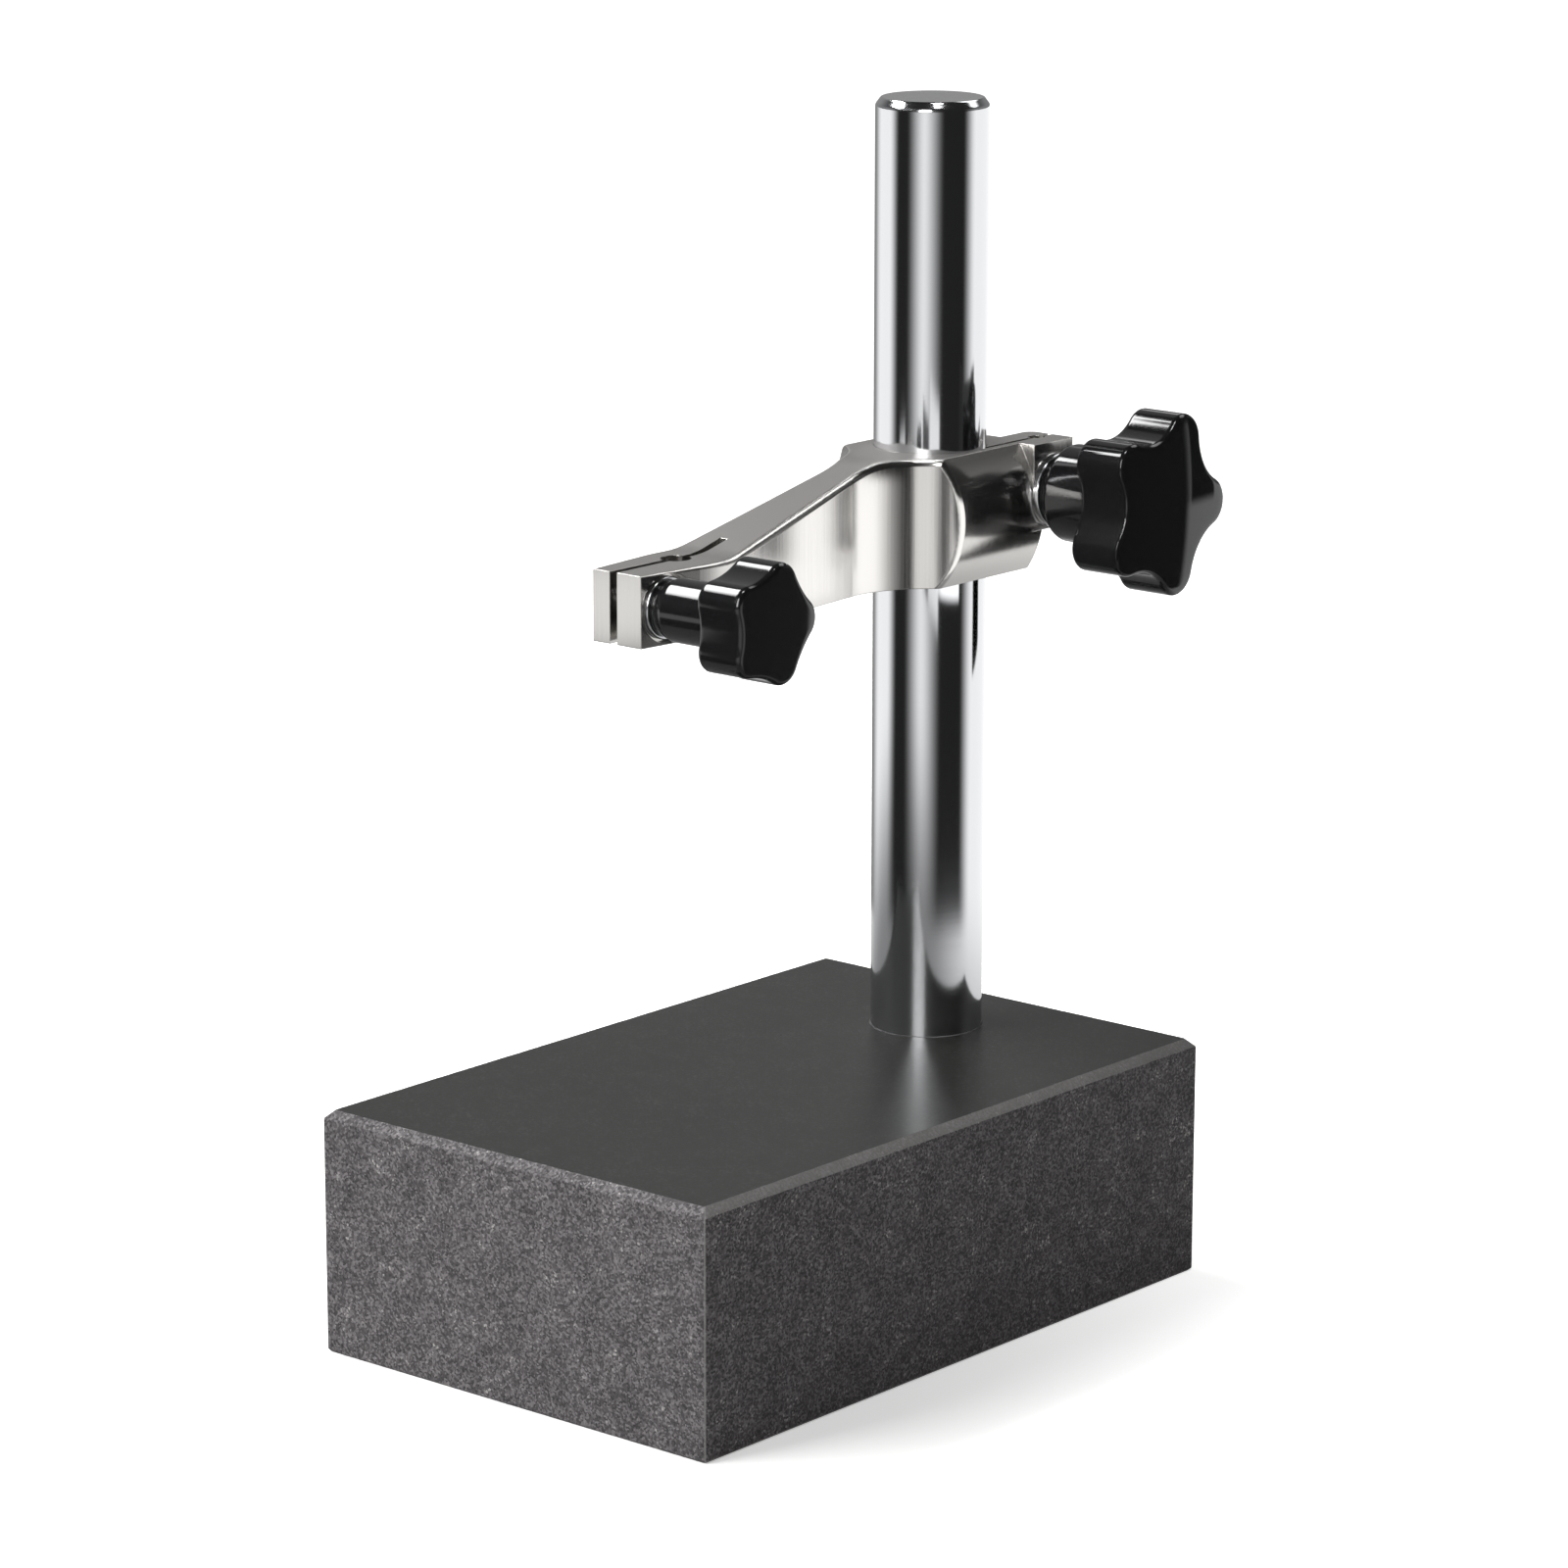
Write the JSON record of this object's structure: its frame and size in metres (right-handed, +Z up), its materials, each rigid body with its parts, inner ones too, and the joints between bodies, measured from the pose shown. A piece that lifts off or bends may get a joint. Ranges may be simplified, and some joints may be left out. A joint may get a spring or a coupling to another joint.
{
  "type": "dial indicator stand",
  "caption": "Bench stand for a dial indicator: stone base, ground round column, and a cast arm with a split clamp at each end and star knobs.",
  "frame": {"origin": "centre of the stone base's underside", "axes": "+Z up along the column, +Y to the back edge beside the column, +X to the side where the clamp knobs stand"},
  "size_m": [0.13, 0.216, 0.315],
  "materials": {
    "granite": "finely lapped top, ground sides",
    "ground_steel": "ground and hard chromed",
    "screw_steel": "blackened",
    "cast_arm": "satin nickel plated casting",
    "bright_steel": "bright zinc plated",
    "black_plastic": "gloss",
    "bush_brass": "turned"
  },
  "bodies": {
    "base": {"granite_base": "granite", "column_foot_screw": "screw_steel", "column_foot_lock_washer": "screw_steel", "column_foot_washer": "screw_steel"},
    "column": {"column": "ground_steel"},
    "arm": {"clamp_arm": "cast_arm"},
    "column_clamp_washer": {"column_clamp_washer": "bright_steel"},
    "column_clamp_knob": {"column_clamp_knob": "black_plastic", "column_clamp_bush": "bush_brass", "column_clamp_stud": "bright_steel"},
    "indicator_clamp_washer": {"indicator_clamp_washer": "bright_steel"},
    "indicator_clamp_knob": {"indicator_clamp_knob": "black_plastic", "indicator_clamp_bush": "bush_brass", "indicator_clamp_stud": "bright_steel"}
  },
  "joints": [
    {"name": "arm_swivel", "type": "hinge", "parent": "base", "child": "column", "pos_m": [0, 0.065, 0.065], "axis": [0, 0, 1], "continuous": true},
    {"name": "arm_lift", "type": "slide", "parent": "column", "child": "arm", "axis": [0, 0, 1], "range_m": [-0.115, 0.089]},
    {"name": "column_clamp_travel", "type": "slide", "parent": "arm", "child": "column_clamp_washer", "axis": [1, 0, 0], "range_m": [0, 0.003]},
    {"name": "column_clamp_turn", "type": "hinge", "parent": "column_clamp_washer", "child": "column_clamp_knob", "pos_m": [0.0236, 0.091, 0.21], "axis": [1, 0, 0], "range_deg": [0, 720]},
    {"name": "indicator_clamp_travel", "type": "slide", "parent": "arm", "child": "indicator_clamp_washer", "axis": [1, 0, 0], "range_m": [0, 0.002]},
    {"name": "indicator_clamp_turn", "type": "hinge", "parent": "indicator_clamp_washer", "child": "indicator_clamp_knob", "pos_m": [0.009, -0.0493, 0.1982], "axis": [1, 0, 0], "range_deg": [0, 720]}
  ],
  "couplings": [
    {"joint": "column_clamp_turn", "follows": "column_clamp_travel", "rad_per_m": 4188.8},
    {"joint": "indicator_clamp_turn", "follows": "indicator_clamp_travel", "rad_per_m": 6283.2}
  ]
}
